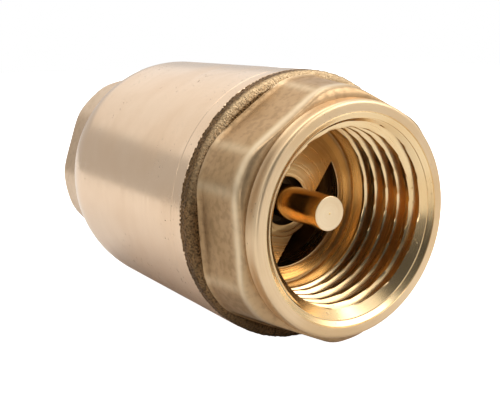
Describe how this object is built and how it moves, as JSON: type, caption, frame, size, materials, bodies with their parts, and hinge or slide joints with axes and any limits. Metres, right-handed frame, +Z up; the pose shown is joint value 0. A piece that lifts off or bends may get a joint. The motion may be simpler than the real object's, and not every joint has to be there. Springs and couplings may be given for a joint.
{
  "type": "spring check valve",
  "caption": "Inline spring check valve: turned body with a screwed-in hexagon cap, female pipe threads at both ends, and a spring-loaded poppet guided by a hub.",
  "frame": {"origin": "centre of the outlet mouth, in the plane of the lip's end face", "axes": "+Y along the flow axis from the outlet towards the inlet, +Z up, +X to the right of a viewer who looks into the outlet"},
  "size_m": [0.0296, 0.0465, 0.0296],
  "materials": {
    "turned_brass": "turned, satin",
    "forged_brass": "forged and shot-blasted, machined at the mouth",
    "stem_brass": "drawn and polished",
    "disc_brass": "turned",
    "seal_rubber": "moulded, matt",
    "ring_plastic": "matt",
    "spring_steel": "drawn wire"
  },
  "bodies": {
    "housing": {"body": "turned_brass", "end_cap": "forged_brass", "cap_seal_ring": "ring_plastic", "spring": "spring_steel"},
    "poppet": {"stem": "stem_brass", "disc": "disc_brass", "disc_seal": "seal_rubber", "seal_retainer": "disc_brass", "retainer_nut": "disc_brass"}
  },
  "joints": [
    {"name": "poppet_lift", "type": "slide", "parent": "housing", "child": "poppet", "axis": [0, -1, 0], "range_m": [0, 0.0042], "stiffness_N_per_m": 320, "springref_m": -0.0014, "deforming": ["spring"]}
  ]
}
